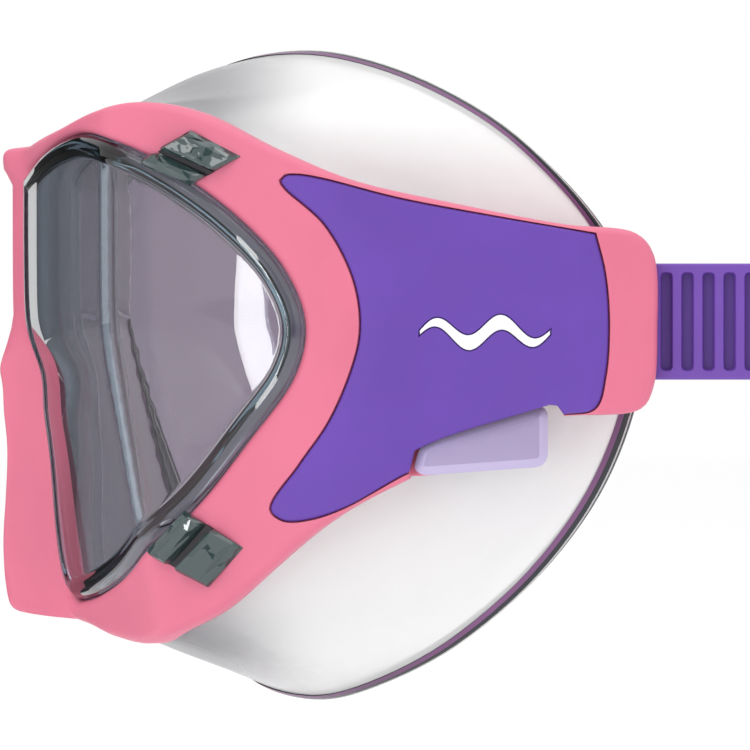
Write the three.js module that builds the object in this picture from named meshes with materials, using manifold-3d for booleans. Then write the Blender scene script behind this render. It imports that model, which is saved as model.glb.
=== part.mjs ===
// Junior swim mask: two-lens wrap frame with a clear face skirt, squeeze-lever buckles and a
// ladder strap.  Millimetres, +Z up, +X the wearer's left, -Y the way the wearer looks.
// The origin is the middle of the face seal.
import * as THREE from 'three';
import { mergeVertices } from 'three/addons/utils/BufferGeometryUtils.js';
import ManifoldModule from 'manifold-3d';

const wasm = await ManifoldModule();
wasm.setup();
const { Manifold, Mesh: SolidMesh } = wasm;

// ---------------------------------------------------------------- driving dimensions
const FRONT_Y = -49.5;          // foremost line of the wrap at the bridge
const WRAP = [                  // arc length from the bridge, heading in degrees (0 = across the face)
  [0, 0], [6, 6], [59, 26], [64, 61], [102, 85], [134, 90],
];
const FRAME_IN = -2.2;          // inner and outer faces of the frame band, measured off the wrap
const FRAME_OUT = 1.2;
const FRAME_EDGE = 0.7;         // edge break of the band
const SEAT = 0.15;              // clearance of seated parts
const RUN = 0.3;                // clearance of moving parts
const LENS_RIM = 2.0;           // width of the thick lens rim
const LENS_PANE_IN = -0.9;      // inner face of the lens pane
const LENS_OUT = 1.35;          // outer face of the lens
const PANEL_FLOOR = 0.1;        // floor of the panel recess
const PANEL_OUT = 1.4;          // outer face of the panel
const FLANGE_IN = -3.8;         // skirt flange behind the frame
const FLANGE_OUT = -2.35;
const SKIRT_WALL = 1.3;
const RETAINER_IN = -5.2;
const STRAP_W = 14.8;           // strap width
const STRAP_T = 1.6;            // strap thickness
const STRAP_Z = 6.8;            // height of the strap centreline
const LADDER_PITCH = 2.68;
const LADDER_GAP = 1.4;
const LADDER_H = 12.4;
const LADDER_DEPTH = 0.9;
const ROLLER_X = 67.4;          // roller axis (runs along Z)
const ROLLER_Y = 15;
const ROLLER_R = 1.6;
const TURN_R = 1.9;             // inner radius of the strap round the roller
const TURN_END = 24;            // where the turn piece hands over to the straight lanes
const TAIL_END = 84;
const LOOP_STRAIGHT = 50;       // strap runs straight back to here, then round the head
const LOOP_BACK = 135;
const ARM_IN = 62.2;            // inner face of the buckle arm
const LEVER_PIVOT = [7.6, -10.3]; // Y, Z
const LEVER_X = [63.5, 71.9];
const PAWL_Y = 25.6;
const PAWL_X = 67.3;

// ---------------------------------------------------------------- wrap surface
const STEP = 0.25;
const wrapTable = (() => {
  const xs = [0], ys = [FRONT_Y];
  for (let i = 0; i < 140 / STEP; i++) {
    const a = heading((i + 0.5) * STEP);
    xs.push(xs[i] + Math.cos(a) * STEP);
    ys.push(ys[i] + Math.sin(a) * STEP);
  }
  return { xs, ys };
})();

function heading(u) {
  let i = 0;
  while (i < WRAP.length - 2 && u > WRAP[i + 1][0]) i++;
  const [u0, a0] = WRAP[i], [u1, a1] = WRAP[i + 1];
  return THREE.MathUtils.degToRad(a0 + (a1 - a0) * Math.min(1, (u - u0) / (u1 - u0)));
}

function ease(x, a, b) {                       // 0 at a, 1 at b
  const k = Math.min(1, Math.max(0, (x - a) / (b - a)));
  return k * k * (3 - 2 * k);
}

function rake(u, z) {                          // the lower half leans back under the eyes
  return 0.09 * ((6 - z) + Math.hypot(6 - z, 3)) * (1 - ease(u, 66, 100));
}

function lensInnerEdge(z) {
  return z > 8 ? 13 : 13 + (8 - z) * 0.31;
}

function bump(u, z) {                          // nose arch and brow stand forward of the lenses
  const nose = (5.3 - 0.062 * z) * (1 - ease(z, 0, 8.6));
  const edge = lensInnerEdge(z) - 0.6;
  const bridge = (1.2 * ease(z, 2, 8.6) + 1.3 * ease(z, 26, 28.6)) * (1 - ease(u, 5, 12));
  return nose * (1 - ease(u, edge - 6.5, edge)) + bridge;
}

function dent(u, z) {                          // the front sits back beside the nose
  const step = 0.9 * Math.exp(-((z / 4.2) ** 2));
  return (2.3 * ease(z, -28, -6) + step) * (1 - ease(u, 14, 56));
}

function wrap(u, z, t, plain = false) {
  const k = Math.min(u / STEP, wrapTable.xs.length - 1.001), i = Math.floor(k), f = k - i;
  const a = heading(u), out = t + (plain ? 0 : bump(u, z));
  const x = wrapTable.xs[i] + (wrapTable.xs[i + 1] - wrapTable.xs[i]) * f;
  const y = wrapTable.ys[i] + (wrapTable.ys[i + 1] - wrapTable.ys[i]) * f;
  return [x + out * Math.sin(a), y - out * Math.cos(a) + rake(u, z) + dent(u, z), z];
}

// ---------------------------------------------------------------- outlines
// A closed outline; a third value of 1 marks a corner, the rest is a smooth curve.
function outline(points, step = 4.5) {
  const n = points.length;
  const start = Math.max(0, points.findIndex((p) => p[2]));
  const ring = points.map((_, i) => points[(i + start) % n]);
  const hasCorner = points.some((p) => p[2]);
  const out = [];
  const sample = (run, closed) => {
    const c = new THREE.CatmullRomCurve3(run.map((p) => new THREE.Vector3(p[0], p[1], 0)), closed,
      'centripetal');
    const m = Math.max(1, Math.round(c.getLength() / step));
    if (run.length === 2) { out.push([run[0][0], run[0][1]]); return; }
    for (let i = 0; i < m; i++) { const v = c.getPointAt(i / m); out.push([v.x, v.y]); }
  };
  if (!hasCorner) { sample(ring, true); return out; }
  let run = [ring[0]];
  for (let i = 1; i <= n; i++) {
    const p = ring[i % n];
    run.push(p);
    if (p[2]) { sample(run, false); run = [p]; }
  }
  return out;
}

function area(pts) {
  return pts.reduce((s, p, i) => {
    const q = pts[(i + 1) % pts.length];
    return s + p[0] * q[1] - q[0] * p[1];
  }, 0) / 2;
}

function grow(pts, d) {                        // offset a closed outline outwards by d
  const sgn = Math.sign(area(pts)), n = pts.length;
  return pts.map((p, i) => {
    const a = pts[(i + n - 1) % n], b = pts[(i + 1) % n];
    const e1 = [p[0] - a[0], p[1] - a[1]], e2 = [b[0] - p[0], b[1] - p[1]];
    const l1 = Math.hypot(...e1), l2 = Math.hypot(...e2);
    const n1 = [e1[1] / l1 * sgn, -e1[0] / l1 * sgn], n2 = [e2[1] / l2 * sgn, -e2[0] / l2 * sgn];
    const m = [n1[0] + n2[0], n1[1] + n2[1]];
    const k = 2 / Math.max(0.6, m[0] * m[0] + m[1] * m[1]);
    return [p[0] + m[0] * k * d, p[1] + m[1] * k * d];
  });
}

function circle(cx, cy, r, n = 20) {
  return Array.from({ length: n }, (_, i) => {
    const a = (i / n) * Math.PI * 2;
    return [cx + r * Math.cos(a), cy + r * Math.sin(a)];
  });
}

function box2(x0, x1, y0, y1) {
  return [[x0, y0], [x1, y0], [x1, y1], [x0, y1]];
}

// ---------------------------------------------------------------- solids
function toSolid(geometry) {
  const g = geometry.clone();
  for (const k of Object.keys(g.attributes)) if (k !== 'position') g.deleteAttribute(k);
  const m = mergeVertices(g, 1e-4);
  const idx = m.index.array, tri = [];
  for (let i = 0; i < idx.length; i += 3) {
    const [a, b, c] = [idx[i], idx[i + 1], idx[i + 2]];
    if (a !== b && b !== c && a !== c) tri.push(a, b, c);
  }
  const mesh = new SolidMesh({
    numProp: 3,
    vertProperties: new Float32Array(m.attributes.position.array),
    triVerts: new Uint32Array(tri),
  });
  return new Manifold(mesh);
}

const AXES = {
  X: (a, b, e) => [e, a, b],     // outline in Y,Z
  Y: (a, b, e) => [b, e, a],     // outline in Z,X
  Z: (a, b, e) => [a, b, e],     // outline in X,Y
};

function prism(axis, pts, e0, e1, bevel = 0, holes = []) {
  const path = (p, sgn) => (area(p) * sgn > 0 ? p : [...p].reverse())
    .map(([x, y]) => new THREE.Vector2(x, y));
  const shape = new THREE.Shape(path(pts, 1));
  for (const h of holes) shape.holes.push(new THREE.Path(path(h, -1)));
  const g = new THREE.ExtrudeGeometry(shape, {
    depth: e1 - e0 - 2 * bevel, steps: 1, curveSegments: 4,
    bevelEnabled: bevel > 0, bevelThickness: bevel, bevelSize: bevel, bevelOffset: -bevel,
    bevelSegments: 1,
  });
  const pos = g.attributes.position, put = AXES[axis];
  for (let i = 0; i < pos.count; i++) {
    pos.setXYZ(i, ...put(pos.getX(i), pos.getY(i), pos.getZ(i) + e0 + bevel));
  }
  return toSolid(g);
}

function block(x0, x1, y0, y1, z0, z1) {
  return prism('Z', box2(x0, x1, y0, y1), z0, z1);
}

function triangles(solid) {
  const m = solid.getMesh(), v = m.vertProperties, n = m.numProp, out = [];
  for (let i = 0; i < m.triVerts.length; i += 3) {
    out.push([0, 1, 2].map((k) => {
      const j = m.triVerts[i + k] * n;
      return [v[j], v[j + 1], v[j + 2]];
    }));
  }
  return out;
}

// Split a flat solid into cells so that bending it bends every face, then give back the outer
// faces only.
function cellFaces(flat, us, zs) {
  const cuts = [...us.map((c) => [0, c]), ...zs.map((c) => [1, c])];
  if (us.includes(NOSE_END)) cuts.push(...NOSE_Z.map((c) => [1, c, NOSE_END]));
  let parts = [flat];
  for (const [axis, c, end = 1e3] of cuts) {
    parts = parts.flatMap((p) => {
      const { min, max } = p.boundingBox();
      if (min[axis] > c - 1e-3 || max[axis] < c + 1e-3 || max[0] > end + 1e-3) return [p];
      return p.splitByPlane(axis ? [0, 1, 0] : [1, 0, 0], c).filter((q) => !q.isEmpty());
    });
  }
  const onCut = (t) => cuts.some(([axis, c, end = 1e3]) => t.every((p) =>
    Math.abs(p[axis] - c) < 2e-4 && p[0] < end + 2e-4));
  const snap = weld(5e-4);
  const tris = parts.flatMap(triangles).filter((t) => !onCut(t)).map((t) => t.map(snap))
    .filter(([a, b, c]) => a !== b && b !== c && a !== c);
  return closeEdges(tris);
}

function closeEdges(tris) {                    // a corner lying on a neighbour's edge splits it
  const ids = new Map(), id = (p) => ids.get(p) ?? (ids.set(p, ids.size), ids.size - 1);
  for (let pass = 0; pass < 6; pass++) {
    const edges = new Set(tris.flatMap((t) => t.map((p, i) => `${id(p)},${id(t[(i + 1) % 3])}`)));
    const open = (p, q) => !edges.has(`${id(q)},${id(p)}`);
    const loose = new Set(tris.flatMap((t) => t.filter((p, i) => open(p, t[(i + 1) % 3])
      || open(t[(i + 2) % 3], p))));
    let changed = false;
    tris = tris.flatMap((t) => {
      for (let i = 0; i < 3; i++) {
        const [p, q, r] = [t[i], t[(i + 1) % 3], t[(i + 2) % 3]];
        if (!open(p, q)) continue;
        const d = q.map((v, k) => v - p[k]), len = Math.hypot(...d);
        for (const v of loose) {
          if (v === p || v === q || v === r) continue;
          const w = v.map((c, k) => c - p[k]), s = (w[0] * d[0] + w[1] * d[1] + w[2] * d[2]) / len;
          if (s < 1e-3 || s > len - 1e-3) continue;
          if (Math.hypot(...w.map((c, k) => c - d[k] * s / len)) > 1.5e-3) continue;
          changed = true;
          return [[p, v, r], [v, q, r]];
        }
      }
      return [t];
    });
    if (!changed) break;
  }
  return tris;
}

function weld(tol) {                           // one shared point for points closer than tol
  const bins = new Map();
  return (p) => {
    const k = p.map((v) => Math.floor(v / tol));
    for (let i = -1; i <= 1; i++) for (let j = -1; j <= 1; j++) for (let m = -1; m <= 1; m++) {
      const q = bins.get(`${k[0] + i},${k[1] + j},${k[2] + m}`);
      if (q && Math.hypot(q[0] - p[0], q[1] - p[1], q[2] - p[2]) < tol) return q;
    }
    bins.set(k.join(','), p);
    return p;
  };
}

const NOSE_END = 25.5;
const NOSE_U = [4, 7, 10, 12.9, 15.9, 18.9, 22, NOSE_END];
const FRONT_U = [25, 32, 38, 45, 57.7, 59.6, 61.3, 63.1, 65.2, 71.7, 78.9, 87, 97, 111];
const NOSE_Z = [27.1, 8.6, 7.1, 5.3, -3, -12, -20, -26, -30.3];
const RAKE_Z = [10, 5.4, 1.6, -3.6, -8, -18];

// Bend a flat (u, z, t) solid round the face; a plain one leaves out the nose arch and brow.
function onWrap(flat, us, zs, plain = false) {
  const pos = cellFaces(flat, us, zs).flat().flatMap((p) => wrap(Math.max(0, p[0]), p[1], p[2], plain));
  const g = new THREE.BufferGeometry();
  g.setAttribute('position', new THREE.Float32BufferAttribute(pos, 3));
  return toSolid(g);
}

function both(half) { return Manifold.union([half, half.mirror([1, 0, 0])]); }

const root = new THREE.Group();
root.name = 'junior_swim_mask';

function add(name, solid, material) {
  const m = solid.getMesh(), g = new THREE.BufferGeometry();
  g.setAttribute('position', new THREE.Float32BufferAttribute(Array.from(m.vertProperties), 3));
  g.setIndex(Array.from(m.triVerts));
  g.computeVertexNormals();
  const mesh = new THREE.Mesh(g, material.clone());
  mesh.name = name;
  root.add(mesh);
}

function addPair(name, left, material) {
  add(`${name}_left`, left, material);
  add(`${name}_right`, left.mirror([1, 0, 0]), material);
}

const mat = (color, roughness, extra = {}) => new THREE.MeshStandardMaterial({
  color, roughness, metalness: 0, ...extra,
});
const PINK = mat(0xee7e9b, 0.45);
const PURPLE = mat(0x7a50c0, 0.5);
const LILAC = mat(0xb4a4cd, 0.45);
const WHITE = mat(0xf5f5f7, 0.4);
const GLASS = mat(0x9fb4ba, 0.05, { transparent: true, opacity: 0.35 });
const CLEAR = mat(0xe8ecee, 0.12, { transparent: true, opacity: 0.4 });
const STRAP = mat(0x7f57bb, 0.6);
const STEEL = mat(0xb9bcc2, 0.3, { metalness: 1 });
const NYLON = mat(0xe6e6ea, 0.5);

// ---------------------------------------------------------------- master outlines (u, z)
const LENS = outline([
  [12.6, 27.2, 1], [31, 29.4], [46, 31], [53, 31.3], [61.4, 30], [69, 26.8], [78.5, 20.5],
  [85.3, 13.4], [88, 6.4], [86.3, 0], [78.7, -8.3], [66.5, -18.6], [54, -25.2], [40.5, -28.7],
  [28.5, -30, 1], [24.6, -28.2], [21.4, -20], [18.6, -10], [15.6, 0], [13.2, 9], [12.4, 18],
]);
const BAND = outline([
  [0, 30.6, 1], [20.6, 31.4], [42, 32.5], [57, 34.3], [66, 35.1], [74, 33.6], [84.3, 28.8],
  [94, 24.9], [107, 21.9], [121, 19.2], [130.4, 18], [132.6, 15.4], [133.1, 5.7], [132.6, -1.6],
  [131, -4.3], [121.2, -5.2, 1], [120.6, -4.6, 1], [101.6, -13.2, 1], [92.2, -17.8],
  [79.8, -24.9], [69, -30.7], [57, -34.6], [44, -34.4], [33, -33.2], [21, -32.2], [16.4, -30.4],
  [15.2, -24], [13.6, -16], [11.2, -7], [7, 1.8], [3, 5.6], [0, 6.5, 1],
]);
const PANEL = outline([
  [85, 25.3, 1], [90.9, 19.1], [94.6, 12], [95.4, 5.7], [94.2, 0.6], [91, -6], [86.4, -11.5],
  [81.3, -17.2], [83, -18.5], [87.5, -18.4], [93, -16.8], [101.6, -12.3, 1], [102.3, -9.6, 1],
  [105.6, -8.1], [119.4, -3.8, 1], [120.4, -3.9, 1], [121.2, -5, 1], [125.2, -4.2], [126.5, 0],
  [126.9, 7], [126.4, 13], [125.2, 17.9, 1], [113, 20], [100, 22.5], [90, 25.1],
]);

// ---------------------------------------------------------------- frame
const TABS = {
  upper: { foot: [[64, 26.8], [66.6, 29.1], [73, 31.2], [79.6, 28], [76.6, 26], [72.6, 23]],
    hook: [69.4, 76.2, 28.2, 29.7], },
  lower: { foot: [[58.6, -21.4], [60.6, -24.4], [68.2, -27.2], [75.6, -21.9], [73.6, -19.4],
    [69.4, -14.8]], hook: [64.6, 71, -24.4, -22.9] },
};
function hookBox([u0, u1, z0, z1], clear, t0, t1) {
  return prism('Z', box2(u0 - clear, u1 + clear, z0 - clear, z1 + clear), t0, t1);
}

let band = prism('Z', BAND, FRAME_IN, FRAME_OUT, FRAME_EDGE, [grow(LENS, SEAT)]);
band = band.subtract(prism('Z', grow(PANEL, SEAT), PANEL_FLOOR, 3));
band = band.subtract(prism('Z', [[101.7, -15], [101.7, -9.2], [104, -6.4], [113, -2.6],
  [118, -1.5], [120.6, -1.5], [120.6, -15]], -4, 3));
for (const t of Object.values(TABS)) band = band.subtract(hookBox(t.hook, RUN, -3, 3));
let frame = onWrap(band, [...NOSE_U, ...FRONT_U], RAKE_Z);

// deep rear block of the arm with the strap bay through it
const ARM = outline([
  [9.5, -1.9, 1], [22.3, -1.9, 1], [22.6, -4, 1], [32, -4], [33.8, -1.6], [34.5, 5.7],
  [33.8, 15], [32, 17.6], [24, 18.6, 1], [9.5, 21, 1],
]);
frame = frame.add(prism('X', ARM, ARM_IN, 71, 0.8));
const zLo = STRAP_Z - STRAP_W / 2, zHi = STRAP_Z + STRAP_W / 2;
const bay = [ROLLER_X - TURN_R - STRAP_T - 0.4, ROLLER_X + TURN_R + STRAP_T + RUN];
frame = frame.subtract(block(bay[0], bay[1], 11.2, 40, zLo - 0.35, zHi + 0.35));
// hinge lug of the lever and its bore
const LUG = [66.2, 69.4];
frame = frame.add(prism('X', outline([[-3, -12.4, 1], [4, -12.9], [9.2, -12.2], [10, -10.3],
  [9.2, -8.4], [4, -7.6], [-3, -5, 1]], 1.5), LUG[0], LUG[1]));
const bore = (r, x0, x1, y, z) => prism('X', circle(y, z, r), x0, x1);
frame = frame.subtract(bore(1.1, 64, 70.2, ...LEVER_PIVOT));
// bores for the roller and pawl pins, slot for the lever finger
const FINGER = [66.4, 68.2, 19.4, 21.2];
for (const [x, y] of [[ROLLER_X, ROLLER_Y], [PAWL_X, PAWL_Y]]) {
  frame = frame.subtract(prism('Z', circle(x, y, 0.8, 16), zLo - 1, zHi + 1.8));
}
frame = frame.subtract(block(FINGER[0] - RUN, FINGER[1] + RUN, 17.9, 21.6, -2.5, 0));
frame = both(frame);
add('frame', frame, PINK);

// ---------------------------------------------------------------- lenses with snap tabs
const rim = prism('Z', LENS, FRAME_IN, LENS_OUT, 0.45)
  .subtract(prism('Z', grow(LENS, -LENS_RIM), FRAME_IN - 1, LENS_PANE_IN));
let lensFlat = rim;
for (const t of Object.values(TABS)) {
  const foot = outline(t.foot.map((p) => [...p, 1]));
  const over = prism('Z', foot, FRAME_OUT + SEAT, FRAME_OUT + 1.25, 0.3);
  const inside = prism('Z', foot, LENS_OUT - 0.6, FRAME_OUT + 0.6)
    .intersect(prism('Z', grow(LENS, -0.5), -3, 3));
  lensFlat = lensFlat.add(over).add(inside).add(hookBox(t.hook, 0, -2, FRAME_OUT + 0.6));
}
const lens = onWrap(lensFlat, [18, ...FRONT_U.slice(0, 12)], RAKE_Z);
addPair('lens', lens, GLASS);

// ---------------------------------------------------------------- skirt
// Stations round one half, forehead to bridge: where the skirt leaves the frame (u, z)
// and where it meets the face (x, y, z); the last value pushes the wall out or in between.
const SKIRT = [
  [[0, 28.9], [0, -27.6, 35], 1.2], [[12, 29.6], [12, -24.9, 35.6], 0.2],
  [[25, 30.2], [24, -19.9, 39.4], 0.3], [[38, 31], [35, -12, 41.2], 1],
  [[48, 32.2], [44, -3.5, 40.6], 0.9], [[58, 33.3], [51.4, 7, 36.9], 0.4],
  [[69, 33], [57, 18.5, 30], -1], [[80, 28.6], [59.2, 27.6, 21], -2.8],
  [[88, 20.5], [59.7, 32.6, 12.8], -3.6], [[91, 11], [59.8, 34.6, 4.2], -3.8],
  [[89.6, 1.4], [59.5, 33, -4.9], -3.6], [[84.4, -7.6], [58.3, 28.7, -15.2], -2.8],
  [[78, -16.4], [55.4, 21.1, -25.3], -1], [[70.6, -25], [50, 10.6, -34.1], 0.8],
  [[60.5, -31.6], [43, 0.6, -39.3], 1], [[48, -33], [36, -6.4, -41.4], 0.8],
  [[36, -32], [29.5, -13.2, -40.4], -0.2], [[26, -31], [24.6, -17.7, -37], -1.6],
  [[18.4, -28.8], [20.6, -21.4, -31], -1.4], [[16.5, -21.5], [18, -24.6, -21.5], 0],
  [[14.4, -12], [15.2, -28, -12], 0], [[10.4, -2.4], [10.6, -31.4, -3], 0],
  [[5, 5], [5, -34.6, 4.6], 0], [[0, 7.9], [0, -35.6, 7.2], 0],
];
// The wall swells again late over each eye: the station, spread and height of the swelling.
const BROW = { station: 2.4, spread: 1.1, push: 1.2 };
// A web between the eyes stiffens the skirt above the nose (y, z).
const WEB = [[-44.2, 8.6, 1], [-36, 7.9, 1], [-35.4, 9.5], [-35.2, 23.6], [-36.4, 26.2],
  [-40, 29.4], [-42, 29.4, 1], [-44.2, 28, 1]];

function skirtWall(rings = 7, around = 72) {
  const half = SKIRT.map(([f, r, b]) => ({
    f: new THREE.Vector3(...wrap(f[0], f[1], FLANGE_IN + 0.35, true)), r: new THREE.Vector3(...r), b,
  }));
  const flip = (v) => new THREE.Vector3(-v.x, v.y, v.z);
  const full = [...half, ...half.slice(1, -1).reverse().map(({ f, r, b }) => ({
    f: flip(f), r: flip(r), b }))];
  const fCurve = new THREE.CatmullRomCurve3(full.map((s) => s.f), true, 'centripetal');
  const rCurve = new THREE.CatmullRomCurve3(full.map((s) => s.r), true, 'centripetal');
  const n = full.length, per = around / n;
  const at = (arr, k) => {
    const i = Math.floor(k) % n, g = k - Math.floor(k);
    return arr[i].b * (1 - g) + arr[(i + 1) % n].b * g;
  };
  const grid = [];
  for (let j = 0; j < rings; j++) {
    const v = j / (rings - 1), row = [];
    for (let i = 0; i < around; i++) {
      const k = i / per, a = fCurve.getPoint(k / n), c = rCurve.getPoint(k / n);
      const p = a.clone().lerp(c, v);
      const out = new THREE.Vector3(p.x, 0, p.z - 10).normalize();
      const far = (Math.min(k, n - k) - BROW.station) / BROW.spread;
      p.addScaledVector(out, at(full, k) * Math.sin(Math.PI * Math.sqrt(v))
        + BROW.push * Math.exp(-far * far) * Math.sin(Math.PI * v * v));
      row.push(p);
    }
    grid.push(row);
  }
  const normal = (j, i) => {                   // points in, towards the face
    const a = grid[j][(i + 1) % around].clone().sub(grid[j][(i + around - 1) % around]);
    const b = grid[Math.min(rings - 1, j + 1)][i].clone().sub(grid[Math.max(0, j - 1)][i]);
    return b.cross(a).normalize();
  };
  const inner = grid.map((row, j) => row.map((p, i) =>
    p.clone().addScaledVector(normal(j, i), j === rings - 1 ? 0.25 : 0)));
  const outer = grid.map((row, j) => row.map((p, i) =>
    p.clone().addScaledVector(normal(j, i), -SKIRT_WALL - (j === rings - 1 ? 0.25 : 0))));
  const pos = [], quad = (a, b, c, d) => pos.push(a, b, c, a, c, d);
  for (let i = 0; i < around; i++) {
    const k = (i + 1) % around;
    for (let j = 0; j + 1 < rings; j++) {
      quad(inner[j][i], inner[j + 1][i], inner[j + 1][k], inner[j][k]);
      quad(outer[j][i], outer[j][k], outer[j + 1][k], outer[j + 1][i]);
    }
    quad(outer[0][i], inner[0][i], inner[0][k], outer[0][k]);
    quad(inner[rings - 1][i], outer[rings - 1][i], outer[rings - 1][k], inner[rings - 1][k]);
  }
  const g = new THREE.BufferGeometry();
  g.setAttribute('position', new THREE.Float32BufferAttribute(pos.flatMap((p) => [p.x, p.y, p.z]), 3));
  return toSolid(g);
}

const flangeEdge = outline([
  [0, 28.9, 1], ...SKIRT.slice(1, -1).map(([f]) => f), [0, 7.9, 1],
]);
const flangeFlat = prism('Z', grow(flangeEdge, 0.6), FLANGE_IN, FLANGE_OUT, 0,
  [grow(LENS, -LENS_RIM - 0.3)]).intersect(prism('Z', box2(0, 120, -50, 50), -9, 9));
const skirt = both(onWrap(flangeFlat, [12, 18, ...FRONT_U.slice(0, 12)], RAKE_Z, true))
  .add(skirtWall())
  .add(prism('X', outline(WEB), -0.8, 0.8, 0.3));
add('skirt', skirt, CLEAR);

// ---------------------------------------------------------------- lens retainers
const ringFlat = prism('Z', grow(LENS, -0.8), RETAINER_IN, FLANGE_IN - RUN, 0,
  [grow(LENS, -LENS_RIM - 0.8)]);
addPair('lens_retainer', onWrap(ringFlat, [18, ...FRONT_U.slice(0, 12)], RAKE_Z), NYLON);

// ---------------------------------------------------------------- side panels and wave inlays
const WAVE = (() => {
  const mid = (s) => [103 + 16.5 * s, 5.4 + 1.3 * Math.sin(s * Math.PI * 4)];
  const half = (s) => 0.25 + 0.75 * Math.sin(Math.PI * s);
  const up = [], down = [];
  for (let i = 0; i <= 24; i++) {
    const s = i / 24, [u, z] = mid(s);
    up.push([u, z + half(s)]);
    down.unshift([u, z - half(s)]);
  }
  return [...down, ...up];
})();
const panelFlat = prism('Z', PANEL, PANEL_FLOOR + SEAT, PANEL_OUT, 0.35)
  .subtract(prism('Z', grow(WAVE, 0.12), 0.85, 3));
addPair('side_panel', onWrap(panelFlat, FRONT_U.slice(10), []), PURPLE);
addPair('wave_inlay', onWrap(prism('Z', WAVE, 0.95, PANEL_OUT + 0.1),
  FRONT_U.slice(10), []), WHITE);

// ---------------------------------------------------------------- squeeze lever
const pivot = circle(...LEVER_PIVOT, 1.1);
let lever = prism('X', outline([[4.9, -12, 1], [5.7, -9.1, 1], [7.2, -8.3, 1], [21.4, -3.9, 1],
  [22, -4.6, 1], [22, -10.8, 1], [21.2, -11.7, 1], [6, -12.8, 1]]), LEVER_X[0], LEVER_X[1], 0.5);
lever = lever.subtract(block(LUG[0] - RUN, LUG[1] + RUN, 0, 10.5, -20, 0));
lever = lever.subtract(prism('X', pivot, LEVER_X[0] - 1, LEVER_X[1] - 0.8));
lever = lever.subtract(prism('Z', circle(67.6, 15, 1.9), -7.2, 0));
lever = lever.add(block(FINGER[0], FINGER[1], FINGER[2], FINGER[3], -6, 0.6));
addPair('squeeze_lever', lever, LILAC);
addPair('lever_pin', prism('X', circle(...LEVER_PIVOT, 1.03), 63.8, LEVER_X[1] - 1), STEEL);

function coil(x, y, z0, z1, r, wire, turns) {
  const per = 12, sides = 6, pts = [];
  for (let i = 0; i <= turns * per; i++) {
    const a = (i / per) * Math.PI * 2;
    pts.push(new THREE.Vector3(x + r * Math.cos(a), y + r * Math.sin(a),
      z0 + wire + (z1 - z0 - 2 * wire) * (i / (turns * per))));
  }
  const rings = pts.map((p, i) => {
    const d = pts[Math.min(pts.length - 1, i + 1)].clone().sub(pts[Math.max(0, i - 1)]).normalize();
    const radial = new THREE.Vector3(p.x - x, p.y - y, 0).normalize();
    const up = d.clone().cross(radial).normalize();
    return Array.from({ length: sides }, (_, k) => {
      const a = (k / sides) * Math.PI * 2;
      return p.clone().addScaledVector(radial, wire * Math.cos(a)).addScaledVector(up, wire * Math.sin(a));
    });
  });
  const pos = [], last = rings.length - 1;
  for (let k = 0; k < sides; k++) {
    const m = (k + 1) % sides;
    for (let i = 0; i < last; i++) {
      pos.push(rings[i][k], rings[i + 1][m], rings[i + 1][k], rings[i][k], rings[i][m], rings[i + 1][m]);
    }
    if (k > 0 && m > 0) {
      pos.push(rings[0][0], rings[0][m], rings[0][k]);
      pos.push(rings[last][0], rings[last][k], rings[last][m]);
    }
  }
  const g = new THREE.BufferGeometry();
  g.setAttribute('position', new THREE.Float32BufferAttribute(pos.flatMap((p) => [p.x, p.y, p.z]), 3));
  return toSolid(g);
}
addPair('lever_spring', coil(67.6, 15, -7.1, -2, 1.3, 0.22, 4), STEEL);

// ---------------------------------------------------------------- roller, pawl and their pins
addPair('roller', prism('Z', circle(ROLLER_X, ROLLER_Y, ROLLER_R, 24), zLo + 0.1, zHi - 0.1, 0,
  [circle(ROLLER_X, ROLLER_Y, 0.8, 16)]), NYLON);
const pin = (x, y) => prism('Z', circle(x, y, 0.73, 16), zLo - 0.85, zHi + 1.6);
addPair('roller_pin', pin(ROLLER_X, ROLLER_Y), STEEL);
const pawl = prism('Z', outline([
  [PAWL_X - 0.8, 22, 1], [PAWL_X + 0.3, 21.4, 1], [PAWL_X + 1.7, 22, 1], [PAWL_X + 1.2, 23.4, 1],
  [PAWL_X + 1.2, 26.3, 1], [PAWL_X + 0.6, 27.1, 1], [PAWL_X - 0.6, 27.1, 1], [PAWL_X - 1.2, 26.3, 1],
  [PAWL_X - 1.2, 24.4, 1],
]), zLo + 1.6, zHi - 1, 0.1, [circle(PAWL_X, PAWL_Y, 0.8, 16)]);
addPair('pawl', pawl, NYLON);
addPair('pawl_pin', pin(PAWL_X, PAWL_Y), STEEL);

// ---------------------------------------------------------------- strap
const lane = (x0, x1, y0, y1) => prism('Z', box2(x0, x1, y0, y1), zLo, zHi, 0.25);
const outX = ROLLER_X + TURN_R, inX = ROLLER_X - TURN_R;
const uTurn = (() => {
  const arc = (r) => Array.from({ length: 13 }, (_, i) => {
    const a = Math.PI + (i / 12) * Math.PI;
    return [ROLLER_X + r * Math.cos(a), ROLLER_Y + r * Math.sin(a)];
  });
  const o = arc(TURN_R + STRAP_T), q = arc(TURN_R).reverse();
  return [[o[0][0], TURN_END], ...o, [o[12][0], TURN_END], [q[0][0], TURN_END], ...q,
    [q[12][0], TURN_END]];
})();
addPair('strap_turn', prism('Z', uTurn, zLo, zHi, 0.25), STRAP);

const rung = (y, x0, x1) => block(x0, x1, y - LADDER_GAP / 2, y + LADDER_GAP / 2,
  STRAP_Z - LADDER_H / 2, STRAP_Z + LADDER_H / 2);
const firstRung = 37.1 - 4 * LADDER_PITCH;
const rungs = (count, x0, x1) => Manifold.union(Array.from({ length: count }, (_, i) =>
  rung(firstRung + i * LADDER_PITCH, x0, x1)));
const tail = lane(outX, outX + STRAP_T, TURN_END + RUN, TAIL_END)
  .subtract(rungs(18, outX + STRAP_T - LADDER_DEPTH, outX + 5));
addPair('strap_tail', tail, STRAP);

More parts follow.
